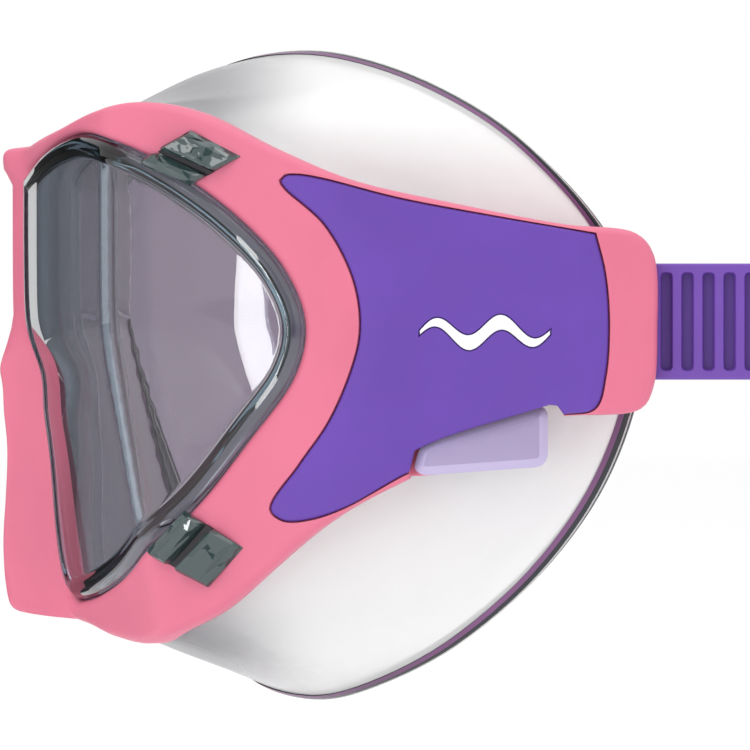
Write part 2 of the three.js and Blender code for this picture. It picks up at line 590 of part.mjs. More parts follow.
const loopPath = (off) => {
  const mid = inX - STRAP_T / 2, pts = [[mid + off, TURN_END + RUN], [mid + off, 36]];
  for (let i = 0; i <= 24; i++) {
    const a = (i / 24) * (Math.PI / 2), b = LOOP_BACK - LOOP_STRAIGHT;
    const nx = Math.cos(a) / mid, ny = Math.sin(a) / b, l = Math.hypot(nx, ny);
    pts.push([mid * Math.cos(a) + off * nx / l, LOOP_STRAIGHT + b * Math.sin(a) + off * ny / l]);
  }
  return pts;
};
const mirrored = (pts) => pts.slice(0, -1).reverse().map(([x, y]) => [-x, y]);
const outerPath = loopPath(STRAP_T / 2), innerPath = loopPath(-STRAP_T / 2);
let loop = prism('Z', [...outerPath, ...mirrored(outerPath),
  ...[...innerPath, ...mirrored(innerPath)].reverse()], zLo, zHi, 0.25);
const inFace = rungs(7, inX - STRAP_T - 5, inX - STRAP_T + LADDER_DEPTH);
loop = loop.subtract(inFace).subtract(inFace.mirror([1, 0, 0]));
add('strap_loop', loop, STRAP);

const keeper = prism('Y', outline([[zLo - 1.7, 59.2, 1], [zHi + 1.7, 59.2, 1],
  [zHi + 1.7, 72.6, 1], [zLo - 1.7, 72.6, 1]]), 66, 72, 0.5,
[box2(zLo - 0.35, zHi + 0.35, 60.4, 71.3)]);
addPair('strap_keeper', keeper, PURPLE);

export default root;
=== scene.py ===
import bpy
import math
import numpy as np
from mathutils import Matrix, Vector
from mathutils.geometry import delaunay_2d_cdt


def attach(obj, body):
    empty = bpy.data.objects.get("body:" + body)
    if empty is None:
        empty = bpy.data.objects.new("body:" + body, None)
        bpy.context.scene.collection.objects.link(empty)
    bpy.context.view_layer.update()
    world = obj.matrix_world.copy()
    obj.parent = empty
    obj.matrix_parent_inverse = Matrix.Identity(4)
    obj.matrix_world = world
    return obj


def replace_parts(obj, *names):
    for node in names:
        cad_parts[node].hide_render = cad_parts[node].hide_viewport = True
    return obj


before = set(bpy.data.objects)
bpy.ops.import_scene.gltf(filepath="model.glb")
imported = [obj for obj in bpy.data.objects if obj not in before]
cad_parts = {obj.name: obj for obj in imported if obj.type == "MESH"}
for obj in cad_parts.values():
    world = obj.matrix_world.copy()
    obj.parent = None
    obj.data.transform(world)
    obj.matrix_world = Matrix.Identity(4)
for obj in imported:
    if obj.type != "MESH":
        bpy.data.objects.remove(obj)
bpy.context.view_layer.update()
MM = 0.001

# ------------------------------------------------------------------ dimensions (mm), as the CAD
FRONT_Y = -49.5
WRAP = [(0, 0), (6, 6), (59, 26), (64, 61), (102, 85), (134, 90)]
FRAME_IN, FRAME_OUT = -2.2, 1.2
LENS_OUT, PANE_IN = 1.35, -0.9
PANEL_FLOOR, PANEL_OUT = 0.1, 1.4
FLANGE_IN, FLANGE_OUT = -3.8, -2.35
SKIRT_WALL = 1.3
STRAP_W, STRAP_T, STRAP_Z = 14.8, 1.6, 6.8
Z_LO, Z_HI = STRAP_Z - STRAP_W / 2, STRAP_Z + STRAP_W / 2
PITCH, RUNG_GAP, RUNG_H, RUNG_DEPTH = 2.68, 1.4, 12.4, 0.9
ROLLER_X, ROLLER_Y, TURN_R, TURN_END = 67.4, 15.0, 1.9, 24.0
TAIL_END, LOOP_STRAIGHT, LOOP_BACK = 84.0, 50.0, 135.0
LEVER_X = (63.5, 71.9)
SPRING_AT, SPRING_HOLE_R = (67.6, 15), 1.9     # X and Y of the lever's spring, radius of its hole
POCKET_FLOOR = 0.9                             # bottom of the panel's pocket for the wave inlay


# ------------------------------------------------------------------ wrap surface
def heading(u):
    us, a = zip(*WRAP)
    return np.radians(np.interp(u, us, a))


TAB_U = np.arange(0, 140.01, 0.05)
_mid = heading((TAB_U[:-1] + TAB_U[1:]) / 2)
TAB_X = np.concatenate([[0], np.cumsum(np.cos(_mid) * 0.05)])
TAB_Y = np.concatenate([[0], np.cumsum(np.sin(_mid) * 0.05)]) + FRONT_Y


def ease(x, a, b):
    k = np.clip((x - a) / (b - a), 0, 1)
    return k * k * (3 - 2 * k)


def rake(u, z):
    return 0.09 * ((6 - z) + np.hypot(6 - z, 3)) * (1 - ease(u, 66, 100))


def bump(u, z):
    nose = (5.3 - 0.062 * z) * (1 - ease(z, 0, 8.6))
    edge = np.where(z > 8, 13.0, 13 + (8 - z) * 0.31) - 0.6
    bridge = (1.2 * ease(z, 2, 8.6) + 1.3 * ease(z, 26, 28.6)) * (1 - ease(u, 5, 12))
    return nose * (1 - ease(u, edge - 6.5, edge)) + bridge


def dent(u, z):
    step = 0.9 * np.exp(-(z / 4.2) ** 2)
    return (2.3 * ease(z, -28, -6) + step) * (1 - ease(u, 14, 56))


def wrap(u, z, t, plain=False):
    u = np.maximum(u, 0)
    a = heading(u)
    out = t + (0 if plain else bump(u, z))
    return np.stack([np.interp(u, TAB_U, TAB_X) + out * np.sin(a),
                     np.interp(u, TAB_U, TAB_Y) - out * np.cos(a) + rake(u, z) + dent(u, z), z], -1)


# ------------------------------------------------------------------ outlines
def run_curve(pts, closed, step):
    p = np.array([q[:2] for q in pts], float)
    if len(p) == 2:
        n = max(1, int(round(np.linalg.norm(p[1] - p[0]) / step)))
        return [tuple(p[0] + (p[1] - p[0]) * i / n) for i in range(n)]
    ext = np.vstack([p[-1], p, p[0], p[1]]) if closed else \
        np.vstack([2 * p[0] - p[1], p, 2 * p[-1] - p[-2]])
    out = []
    for i in range(1, len(ext) - 2):
        a, b, c, d = ext[i - 1], ext[i], ext[i + 1], ext[i + 2]
        t0, t1 = 0, np.linalg.norm(b - a) ** 0.5
        t2 = t1 + np.linalg.norm(c - b) ** 0.5
        t3 = t2 + np.linalg.norm(d - c) ** 0.5
        n = max(1, int(round(np.linalg.norm(c - b) / step)))
        for k in range(n):
            t = t1 + (t2 - t1) * k / n
            a1 = (t1 - t) / (t1 - t0) * a + (t - t0) / (t1 - t0) * b
            a2 = (t2 - t) / (t2 - t1) * b + (t - t1) / (t2 - t1) * c
            a3 = (t3 - t) / (t3 - t2) * c + (t - t2) / (t3 - t2) * d
            b1 = (t2 - t) / (t2 - t0) * a1 + (t - t0) / (t2 - t0) * a2
            b2 = (t3 - t) / (t3 - t1) * a2 + (t - t1) / (t3 - t1) * a3
            out.append(tuple((t2 - t) / (t2 - t1) * b1 + (t - t1) / (t2 - t1) * b2))
    return out


def outline(points, step=0.8, round_corner=0.0):
    n = len(points)
    marks = [i for i, p in enumerate(points) if len(p) > 2 and p[2]]
    if not marks:
        out = run_curve(points, True, step)
    else:
        ring = [points[(i + marks[0]) % n] for i in range(n)]
        out, run = [], [ring[0]]
        for i in range(1, n + 1):
            p = ring[i % n]
            run.append(p)
            if len(p) > 2 and p[2]:
                out += run_curve(run, False, step)
                run = [p]
    out = np.array(out)
    for _ in range(int(round_corner)):         # soften corners
        out = 0.5 * out + 0.25 * (np.roll(out, 1, 0) + np.roll(out, -1, 0))
    if area(out) < 0:
        out = out[::-1]
    return out


def area(p):
    q = np.roll(p, -1, 0)
    return float(np.sum(p[:, 0] * q[:, 1] - q[:, 0] * p[:, 1])) / 2


def grow(p, d):
    e = np.roll(p, -1, 0) - p
    e /= np.linalg.norm(e, axis=1)[:, None] + 1e-12
    nrm = np.stack([e[:, 1], -e[:, 0]], -1)
    m = nrm + np.roll(nrm, 1, 0)
    k = 2 / np.maximum(0.6, (m ** 2).sum(1))
    return p + m * k[:, None] * d


def dist(pts, loop):                           # distance of each point to a closed outline
    a, b = loop, np.roll(loop, -1, 0)
    ab = b - a
    l2 = (ab ** 2).sum(1) + 1e-12
    out = np.empty(len(pts))
    for i in range(0, len(pts), 3000):
        p = pts[i:i + 3000, None, :]
        t = np.clip(((p - a) * ab).sum(-1) / l2, 0, 1)
        out[i:i + 3000] = np.sqrt((((p - a) - ab * t[..., None]) ** 2).sum(-1)).min(1)
    return out


def inside(pts, loop):
    a, b = loop, np.roll(loop, -1, 0)
    out = np.empty(len(pts), bool)
    for i in range(0, len(pts), 3000):
        x, y = pts[i:i + 3000, 0, None], pts[i:i + 3000, 1, None]
        cross = (a[:, 1] > y) != (b[:, 1] > y)
        at = (b[:, 0] - a[:, 0]) * (y - a[:, 1]) / (b[:, 1] - a[:, 1] + 1e-15) + a[:, 0]
        out[i:i + 3000] = (cross & (x < at)).sum(1) % 2 == 1
    return out


def signed(pts, loop):                         # positive inside
    return np.where(inside(pts, loop), 1, -1) * dist(pts, loop)


def edge_round(d, r):                          # height lost at a rounded edge of radius r
    k = r - np.clip(d, 0, r)
    return np.sqrt(np.maximum(r * r - k * k, 0)) - r


def round_rings(r, steps=4):                   # distances in from an edge that rounds it evenly
    return [r * (1 - math.cos(math.pi / 2 * k / steps)) for k in range(1, steps + 1)]


# ------------------------------------------------------------------ meshes
def new_object(name, verts, faces, body, smooth=40):
    me = bpy.data.meshes.new(name)
    me.from_pydata([tuple(v) for v in np.asarray(verts) * MM], [], faces)
    me.validate()
    me.polygons.foreach_set("use_smooth", [True] * len(me.polygons))
    if smooth:
        me.set_sharp_from_angle(angle=math.radians(smooth))
    ob = bpy.data.objects.new(name, me)
    bpy.context.scene.collection.objects.link(ob)
    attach(ob, body)
    return ob


def merge(parts, tol=2e-3):
    """Joins (verts, faces) parts and welds points closer than tol."""
    verts, faces, base = [], [], 0
    for v, f in parts:
        verts.append(np.asarray(v, float))
        faces += [[i + base for i in q] for q in f]
        base += len(v)
    v = np.vstack(verts)
    key = np.round(v / tol).astype(np.int64)
    _, first, inv = np.unique(key, axis=0, return_index=True, return_inverse=True)
    inv = inv.reshape(-1)
    out = []
    for q in faces:
        q = [int(inv[i]) for i in q]
        q = [q[i] for i in range(len(q)) if q[i] != q[i - 1]]
        if len(set(q)) == len(q) >= 3:
            out.append(q)
    return v[first], out


def flip_x(part):
    v, f = part
    v = np.array(v, float)
    v[:, 0] *= -1
    return v, [q[::-1] for q in f]


def sheet_mesh(outer, holes, top, bottom, place, spacing=1.8, rings=(0.12, 0.35, 0.7, 1.2),
               extra=(), open_at=None):
    """A closed plate over an outline: top and bottom are heights over the flat plan.
    Where the plan reaches open_at the plate is left open, to be joined to its mirror image."""
    away = -60 if open_at == 0 else 60
    loops = [outer] + [h if area(h) > 0 else h[::-1] for h in holes]
    lines = []
    for i, lp in enumerate(loops):
        lines.append(lp)
        for r in rings:
            lines.append(grow(lp, -r if i == 0 else r))
    lines += list(extra)
    pts, edges = [], []
    for lp in lines:
        keep = lp.copy()
        if open_at is not None:
            clip = np.maximum if open_at == 0 else np.minimum
            keep[:, 0] = clip(lp[:, 0], open_at)
        base = len(pts)
        pts += [Vector((x, y)) for x, y in keep]
        edges += [(base + k, base + (k + 1) % len(keep)) for k in range(len(keep))]
    lo, hi = outer.min(0), outer.max(0)
    gx, gy = np.meshgrid(np.arange(lo[0], hi[0], spacing), np.arange(lo[1], hi[1], spacing))
    gx = gx + (np.arange(gx.shape[0]) % 2)[:, None] * spacing / 2
    g = np.stack([gx.ravel(), gy.ravel()], -1)
    ok = inside(g, outer)
    for h in loops[1:]:
        ok &= ~inside(g, h)
    g = g[ok]
    for lp in lines:
        if len(g):
            g = g[dist(g, lp) > spacing * 0.42]
    pts += [Vector((x, y)) for x, y in g]
    vs, _, fs, *_ = delaunay_2d_cdt(pts, edges, [], 0, 1e-5)
    p = np.array([tuple(v) for v in vs])
    tri = np.array([f for f in fs if len(f) == 3])
    c = p[tri].mean(1)
    ok = inside(c, outer)
    for h in loops[1:]:
        ok &= ~inside(c, h)
    a, b, d = p[tri[:, 0]], p[tri[:, 1]], p[tri[:, 2]]
    ar = (b[:, 0] - a[:, 0]) * (d[:, 1] - a[:, 1]) - (d[:, 0] - a[:, 0]) * (b[:, 1] - a[:, 1])
    tri = tri[ok & (np.abs(ar) > 1e-9)]
    used = np.unique(tri)
    remap = -np.ones(len(p), int)
    remap[used] = np.arange(len(used))
    p, tri = p[used], remap[tri]
    a, b, d = p[tri[:, 0]], p[tri[:, 1]], p[tri[:, 2]]
    ar = (b[:, 0] - a[:, 0]) * (d[:, 1] - a[:, 1]) - (d[:, 0] - a[:, 0]) * (b[:, 1] - a[:, 1])
    tri[ar < 0] = tri[ar < 0][:, ::-1]
    de = np.full(len(p), 1e9)
    for lp in loops:
        rim = lp.copy()
        if open_at is not None:                # the open edge isn't rounded off
            rim[np.abs(rim[:, 0] - open_at) < 1e-3, 0] = open_at + away
        de = np.minimum(de, dist(p, rim))
    n = len(p)
    up = place(p[:, 0], p[:, 1], top(p, de))
    dn = place(p[:, 0], p[:, 1], bottom(p, de))
    faces = [list(map(int, t)) for t in tri] + [[int(i) + n for i in t[::-1]] for t in tri]
    seen = {}
    for t in tri:
        for k in range(3):
            seen[(int(t[k]), int(t[(k + 1) % 3]))] = True
    for (i, j) in seen:
        if (j, i) not in seen:
            if open_at is not None and max(abs(p[[i, j], 0] - open_at)) < 1e-3:
                continue
            faces.append([j, i, i + n, j + n])
    return np.vstack([up, dn]), faces


def loft(rows, closed_rows=True, cap=False):
    """Quads between rings of equal length."""
    n = len(rows[0])
    faces = []
    for j in range(len(rows) - 1):
        for i in range(n):
            k = (i + 1) % n
            faces.append([j * n + i, j * n + k, (j + 1) * n + k, (j + 1) * n + i])
    if closed_rows:
        j = len(rows) - 1
        for i in range(n):
            k = (i + 1) % n
            faces.append([j * n + i, j * n + k, k, i])
    if cap:
        faces.append(list(range(n))[::-1])
        faces.append([(len(rows) - 1) * n + i for i in range(n)])
    return np.vstack(rows), faces


AXES = {"X": lambda a, b, e: np.stack([e, a, b], -1), "Y": lambda a, b, e: np.stack([b, e, a], -1),
        "Z": lambda a, b, e: np.stack([a, b, e], -1)}


def prism(axis, pts, e0, e1, r=0.4, holes=(), spacing=2.0):
    """A rounded-edge prism between e0 and e1."""
    pts = pts if area(pts) > 0 else pts[::-1]
    return sheet_mesh(pts, list(holes), lambda p, d: e1 + edge_round(d, r),
                      lambda p, d: e0 - edge_round(d, r), AXES[axis], spacing, round_rings(r))


# ------------------------------------------------------------------ materials
def material(name, color, rough, **kw):
    m = bpy.data.materials.new(name)
    m.use_nodes = True
    nt = m.node_tree
    b = nt.nodes["Principled BSDF"]
    b.inputs["Base Color"].default_value = (*color, 1)
    b.inputs["Roughness"].default_value = rough
    for k, v in kw.items():
        key = k.replace("_", " ")
        if key in b.inputs:
            b.inputs[key].default_value = v
    return m, nt, b


GRAIN = 2200                                   # scale of the fine surface grain


def moulded(name, color, rough, vary=0.05, depth=0.04, cloud=90, **kw):
    """Moulded plastic or rubber: faint colour clouding, uneven gloss and a fine surface grain."""
    m, nt, b = material(name, color, rough, **kw)
    tc = nt.nodes.new("ShaderNodeTexCoord")
    n1 = nt.nodes.new("ShaderNodeTexNoise")
    n1.inputs["Scale"].default_value = cloud
    n1.inputs["Detail"].default_value = 3
    nt.links.new(tc.outputs["Object"], n1.inputs["Vector"])
    ramp = nt.nodes.new("ShaderNodeValToRGB")
    c0 = [max(0, c * (1 - vary)) for c in color]
    c1 = [min(1, c * (1 + vary)) for c in color]
    ramp.color_ramp.elements[0].color = (*c0, 1)
    ramp.color_ramp.elements[1].color = (*c1, 1)
    ramp.color_ramp.elements[0].position = 0.3
    ramp.color_ramp.elements[1].position = 0.7
    nt.links.new(n1.outputs["Fac"], ramp.inputs["Fac"])
    nt.links.new(ramp.outputs["Color"], b.inputs["Base Color"])
    mr = nt.nodes.new("ShaderNodeMapRange")
    mr.inputs["To Min"].default_value = rough - 0.05
    mr.inputs["To Max"].default_value = rough + 0.07
    nt.links.new(n1.outputs["Fac"], mr.inputs["Value"])
    nt.links.new(mr.outputs["Result"], b.inputs["Roughness"])
    n2 = nt.nodes.new("ShaderNodeTexNoise")
    n2.inputs["Scale"].default_value = GRAIN
    n2.inputs["Detail"].default_value = 2
    nt.links.new(tc.outputs["Object"], n2.inputs["Vector"])
    bp = nt.nodes.new("ShaderNodeBump")
    bp.inputs["Strength"].default_value = depth
    bp.inputs["Distance"].default_value = 0.0002
    nt.links.new(n2.outputs["Fac"], bp.inputs["Height"])
    nt.links.new(bp.outputs["Normal"], b.inputs["Normal"])
    return m


def clear(name, color, rough, ior, wave=0.0, scale=40, transmission=1.0):
    """Clear plastic or silicone; wave is the depth of its slow surface ripple."""
    m, nt, b = material(name, color, rough)
    b.inputs["Transmission Weight"].default_value = transmission
    b.inputs["IOR"].default_value = ior
    if wave:
        tc = nt.nodes.new("ShaderNodeTexCoord")
        n1 = nt.nodes.new("ShaderNodeTexNoise")
        n1.inputs["Scale"].default_value = scale
        n1.inputs["Detail"].default_value = 1
        nt.links.new(tc.outputs["Object"], n1.inputs["Vector"])
        bp = nt.nodes.new("ShaderNodeBump")
        bp.inputs["Strength"].default_value = wave
        bp.inputs["Distance"].default_value = 0.001
        nt.links.new(n1.outputs["Fac"], bp.inputs["Height"])
        nt.links.new(bp.outputs["Normal"], b.inputs["Normal"])
    return m


def absorb(m, color, density):                 # tint that deepens with the thickness
    nt = m.node_tree
    vol = nt.nodes.new("ShaderNodeVolumeAbsorption")
    vol.inputs["Color"].default_value = (*color, 1)
    vol.inputs["Density"].default_value = density
    out = next(n for n in nt.nodes if n.type == "OUTPUT_MATERIAL")
    nt.links.new(vol.outputs["Volume"], out.inputs["Volume"])


PINK = moulded("pink_plastic", (0.686, 0.153, 0.248), 0.45, vary=0.03, depth=0.05)
PURPLE = moulded("purple_panel", (0.117, 0.042, 0.365), 0.55, vary=0.05, depth=0.10)
LILAC = moulded("lilac_plastic", (0.363, 0.303, 0.49), 0.42, vary=0.03)
WHITE = moulded("white_inlay", (0.87, 0.87, 0.89), 0.4, vary=0.02)
STRAPM = moulded("strap_silicone", (0.15, 0.057, 0.38), 0.5, vary=0.05, depth=0.12)
# painted highlight: a paler copy of the lilac for the levers' chamfers
LILAC_PAINTED_HIGHLIGHT = moulded("lilac_painted_highlight", (0.50, 0.44, 0.66), 0.35, vary=0.03)
# painted shade: a darker copy of the strap's purple for the recess floors
RECESS_PAINTED_SHADE = moulded("strap_recess_painted_shade", (0.088, 0.032, 0.232), 0.6, vary=0.05, depth=0.12)
NYLON = moulded("nylon", (0.72, 0.72, 0.73), 0.45, vary=0.03)
GASKET = clear("retainer_clear", (0.9, 0.95, 0.96), 0.12, 1.5)
GLASS = clear("lens_plastic", (0.74, 0.57, 0.64), 0.015, 1.52)
absorb(GLASS, (0.55, 0.72, 0.75), 400)
# clear hook plastic, half of it a dark teal base that is painted reflection, the dark glints inside
# the hooks
HOOK_CLEAR_PAINTED_REFLECTION = clear("lens_hook_clear_painted_reflection", (0.055, 0.10, 0.10), 0.03, 1.7, wave=0.6, scale=350,
              transmission=0.45)
# painted shadow: near black for the piece that stands in for a slot's shadow
SLOT_SHADOW_PAINT = moulded("hook_slot_shadow", (0.02, 0.015, 0.02), 0.5, vary=0.2)
SKIRTM = clear("skirt_silicone", (0.985, 0.985, 0.99), 0.26, 1.41, wave=0.10, scale=28,
               transmission=0.5)


def painted_shade_tint(m, lit_color, shade_color):
    """Painted grey shade where the wall leaves the frame, above and below the eyes, set by position,
    not by the wall's thickness.
    """
    nt = m.node_tree
    tc = nt.nodes.new("ShaderNodeTexCoord")
    xyz = nt.nodes.new("ShaderNodeSeparateXYZ")
    nt.links.new(tc.outputs["Object"], xyz.inputs["Vector"])
    high = nt.nodes.new("ShaderNodeMath")
    high.operation = "ABSOLUTE"
    nt.links.new(xyz.outputs["Z"], high.inputs[0])
    parts = []
    for source, a, b in ((xyz.outputs["Y"], -0.006, -0.026), (high.outputs[0], 0.024, 0.038)):
        mr = nt.nodes.new("ShaderNodeMapRange")
        mr.interpolation_type = "SMOOTHSTEP"
        mr.inputs["From Min"].default_value = a
        mr.inputs["From Max"].default_value = b
        nt.links.new(source, mr.inputs["Value"])
        parts.append(mr.outputs["Result"])
    both = nt.nodes.new("ShaderNodeMath")
    both.operation = "MULTIPLY"
    nt.links.new(parts[0], both.inputs[0])
    nt.links.new(parts[1], both.inputs[1])
    ramp = nt.nodes.new("ShaderNodeValToRGB")
    ramp.color_ramp.elements[0].color = (*lit_color, 1)
    ramp.color_ramp.elements[1].color = (*shade_color, 1)
    nt.links.new(both.outputs[0], ramp.inputs["Fac"])
    nt.links.new(ramp.outputs["Color"], nt.nodes["Principled BSDF"].inputs["Base Color"])


# painted shade: the skirt greys near the frame, above and below the eyes
painted_shade_tint(SKIRTM, (1.0, 1.0, 1.0), (0.22, 0.22, 0.245))
# painted reflection: the clear rim bead is painted near black, with purple-pink strips along its
# sides, for the dark refraction along a clear silicone edge
RIM_PAINTED_DARK_REFLECTION = moulded("skirt_rim_painted_dark_reflection", (0.018, 0.02, 0.026), 0.22, vary=0.4, cloud=30)
RIM_PAINTED_PINK_REFLECTION = moulded("skirt_rim_painted_pink_reflection", (0.17, 0.065, 0.17), 0.3, vary=0.3, cloud=30)
STEEL = moulded("pin_steel", (0.56, 0.57, 0.59), 0.3, vary=0.05, Metallic=1.0)


def dress(ob, mat):
    ob.data.materials.clear()
    ob.data.materials.append(mat)
    return ob


def both_sides(name, part, body, mat, node=None, smooth=40):
    """A part and its mirror image; node is the CAD node they stand for, if its name differs."""
    made = []
    for side in ("left", "right"):
        v, f = part if side == "left" else flip_x(part)
        ob = new_object(f"{side}_{name}", v, f, body if body == "mask" else f"{body}_{side}", smooth)
        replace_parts(dress(ob, mat), f"{node or name}_{side}")
        made.append(ob)
    return made


def repaint(objects, mat, chosen):
    """Gives the faces that chosen(face) picks a second material."""
    for ob in objects:
        ob.data.materials.append(mat)
        for q in ob.data.polygons:
            if chosen(q):
                q.material_index = len(ob.data.materials) - 1


# ------------------------------------------------------------------ master outlines (u, z)
LENS = outline([
    (12.6, 27.2, 1), (31, 29.4), (46, 31), (53, 31.3), (61.4, 30), (69, 26.8), (78.5, 20.5),
    (85.3, 13.4), (88, 6.4), (86.3, 0), (78.7, -8.3), (66.5, -18.6), (54, -25.2), (40.5, -28.7),
    (28.5, -30, 1), (24.6, -28.2), (21.4, -20), (18.6, -10), (15.6, 0), (13.2, 9), (12.4, 18),
], round_corner=2)
BAND_PTS = [
    (0, 30.6, 1), (20.6, 31.4), (42, 32.5), (57, 34.3), (66, 35.1), (74, 33.6), (84.3, 28.8),
    (94, 24.9), (107, 21.9), (121, 19.2), (130.4, 18), (132.6, 15.4), (133.1, 5.7), (132.6, -1.6),
    (131, -4.3), (121.2, -5.2, 1), (120.6, -1.4, 1), (118, -1.5), (113, -2.6), (104, -6.4),
    (101.7, -9.2, 1), (101.6, -13.2, 1), (92.2, -17.8), (79.8, -24.9), (69, -30.7), (57, -34.6),
    (44, -34.4), (33, -33.2), (21, -32.2), (16.4, -30.4), (15.2, -24), (13.6, -16), (11.2, -7),
    (7, 1.8), (3, 5.6), (0, 6.5, 1),
]
BAND = outline(BAND_PTS)
PANEL = outline([
    (90.9, 19.1), (94.6, 12), (95.4, 5.7), (94.2, 0.6), (91, -6), (86.4, -11.5),
    (81.3, -17.2), (83, -18.5), (87.5, -18.4), (93, -16.8), (101.6, -12.3, 1), (102.3, -9.6, 1),
    (105.6, -8.1), (119.4, -3.8, 1), (120.4, -3.9, 1), (121.2, -5, 1), (125.2, -4.2), (126.5, 0),
    (126.9, 7), (126.4, 13), (125.2, 17.9, 1), (113, 20), (100, 22.5), (90.4, 25), (87.4, 25.5),
    (85.7, 25.4), (85.1, 24.8), (85.6, 23.9),
], step=0.6)
# Clear hooks of the lens over the frame (u, z): the side next to the lens, then the outer side.
FEET = {
    "upper": [(65.9, 27.1), (73, 24.2), (79.9, 27.9), (73.2, 31.3)],
    "lower": [(67.6, -17.4), (61.2, -22.7), (69.2, -27.2), (76, -22.1)],
}


BAY = (ROLLER_X - TURN_R - STRAP_T - 0.4, ROLLER_X + TURN_R + STRAP_T + 0.3)
BAY_OUT, BAY_U = BAY[1], (108.3, 133.8)        # the strap bay's outer wall and its ends (u)
LANE = (Z_LO - 0.35, Z_HI + 0.35)              # height of the strap's way through a part


def box_loop(a0, a1, b0, b1, step=0.6):
    return outline([(a0, b0, 1), (a1, b0, 1), (a1, b1, 1), (a0, b1, 1)], step)


# ------------------------------------------------------------------ frame
def frame_shell():
    lens_hole = grow(LENS, 0.15)
    seat = grow(PANEL, 0.05)

    def top(p, d):
        edge = FRAME_OUT + edge_round(d, 1.1)
        s = -signed(p, seat)
        w = np.where(s <= 0, 0.0, ease(s, 0, 0.15))
        near = np.where(s < 2.5, w, 1.0)
        t = PANEL_FLOOR + (edge - PANEL_FLOOR) * near
        return np.where(d < 1e-3, np.minimum(t, edge), t)

    def bottom(p, d):                          # thinner over the strap bay
        t = (BAY_OUT - np.interp(p[:, 0], TAB_U, TAB_X)) / np.sin(heading(p[:, 0]) + 1e-9)
        return np.where(signed(p, bay) > -1e-3, t, FRAME_IN) - edge_round(d, 0.6)

    bay = box_loop(*BAY_U, *LANE)
    rr = round_rings(1.1) + [1.3]
    half = sheet_mesh(BAND, [lens_hole], top, bottom, wrap, 1.6, rr,
                      extra=[seat, grow(seat, 0.15), grow(seat, 0.6), bay, grow(bay, 0.1)], open_at=0)
    return half


def arm_block():
    arm = outline([(9.5, -1.9, 1), (22.3, -1.9, 1), (22.6, -4, 1), (32, -4), (33.8, -1.6),
                   (34.5, 5.7), (33.8, 15), (32, 17.6), (24, 18.6, 1), (9.5, 21, 1)], 1.0, 1)
    return prism("X", arm, 62.2, 71.0, 0.9)


def cut(ob, part):                             # takes a (verts, faces) part out of an object
    other = temp(part)
    md = ob.modifiers.new("cut", "BOOLEAN")
    md.operation = "DIFFERENCE"
    md.object = other
    md.solver = "EXACT"
    dg = bpy.context.evaluated_depsgraph_get()
    me = bpy.data.meshes.new_from_object(ob.evaluated_get(dg))
    ob.modifiers.clear()
    old = ob.data
    ob.data = me
    bpy.data.meshes.remove(old)
    bpy.data.objects.remove(other)


def temp(part):
    me = bpy.data.meshes.new("cutter")
    me.from_pydata([tuple(v) for v in np.asarray(part[0]) * MM], [], part[1])
    ob = bpy.data.objects.new("cutter", me)
    bpy.context.scene.collection.objects.link(ob)
    return ob


def box_part(x0, x1, y0, y1, z0, z1):
    v = [(x, y, z) for x in (x0, x1) for y in (y0, y1) for z in (z0, z1)]
    f = [[0, 1, 3, 2], [4, 6, 7, 5], [0, 4, 5, 1], [2, 3, 7, 6], [0, 2, 6, 4], [1, 5, 7, 3]]
    return np.array(v, float), f


def mesh_part(ob):
    v = np.array([tuple(x.co) for x in ob.data.vertices]) / MM
    f = [list(p.vertices) for p in ob.data.polygons]
    bpy.data.objects.remove(ob)
    return v, f


arm = temp(arm_block())
cut(arm, prism("Y", box_loop(*LANE, BAY[0], BAY[1] + 3, 1.0), 11.2, 40, 0.2))
cut(arm, box_part(66.1, 68.5, 17.9, 21.6, -2.6, 0))     # slot for the lever's finger
arm = mesh_part(arm)
lug = prism("X", outline([(-3, -12.4, 1), (4, -12.9), (9.2, -12.2), (10, -10.3), (9.2, -8.4),
                          (4, -7.6), (-3, -5, 1)], 0.6), 66.2, 69.4, 0.4)
shell = frame_shell()
shell = merge([shell, flip_x(shell)])
v, f = merge([shell, arm, flip_x(arm), lug, flip_x(lug)], 1e-5)
frame_ob = dress(new_object("mask_frame", v, f, "mask", 50), PINK)
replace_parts(frame_ob, "frame")


# ------------------------------------------------------------------ lenses
def hook_part(corners):
    """A clear hook with hard facets: a step by the lens, a groove, then a sloped plate."""
    a, b, c, d = (np.array(q, float) for q in corners)
    along = (b - a) / np.linalg.norm(b - a)
    out = np.array([-along[1], along[0]])
    out *= np.sign(out @ (c - b))
    length = out @ (c - a)
    plan = outline([(*q, 1) for q in corners], 0.5)

    def top(p, edge):
        k = np.clip((p - a) @ out / length, 0, 1)
        side = np.abs((p - (a + b) / 2) @ along) / np.linalg.norm(b - a)
        t = np.interp(k, HOOK_AT, HOOK_H)
        return FRAME_OUT + t - 0.4 * ease(side, 0.36, 0.5) - 0.5 * (1 - np.clip(edge / 0.4, 0, 1))

    ridges = [np.array([a + (d - a) * k + (b - a) * g + ((c - b) - (d - a)) * k * g
                        for g in (0.03, 0.97)]) for k in HOOK_AT[1:-1]]
    return sheet_mesh(plan, [], top, lambda p, edge: FRAME_OUT - 0.1 + 0 * edge, wrap, 0.7,
                      [0.1, 0.4], extra=ridges)


HOOK_AT = [0, 0.14, 0.34, 0.38, 0.48, 0.53, 0.86, 1.0]
HOOK_H = [0.9, 1.9, 1.75, 0.35, 0.35, 2.1, 1.35, 0.9]


def slot_shadow_part(corners):
    """A thin dark piece in the hook's groove, painted shadow in place of a slot: the frame isn't cut
    here.
    """
    a, b, c, d = (np.array(q, float) for q in corners)
    k0, k1 = HOOK_AT[3] - 0.01, HOOK_AT[4] + 0.01
    plan = [a + (d - a) * k0, a + (d - a) * k1, b + (c - b) * k1, b + (c - b) * k0]
    return sheet_mesh(outline([(*q, 1) for q in plan], 0.4), [],
                      lambda p, edge: FRAME_OUT + 0.5 + edge_round(edge, 0.1),
                      lambda p, edge: FRAME_OUT - 0.05 + 0 * edge, wrap, 0.8, [0.05, 0.1])


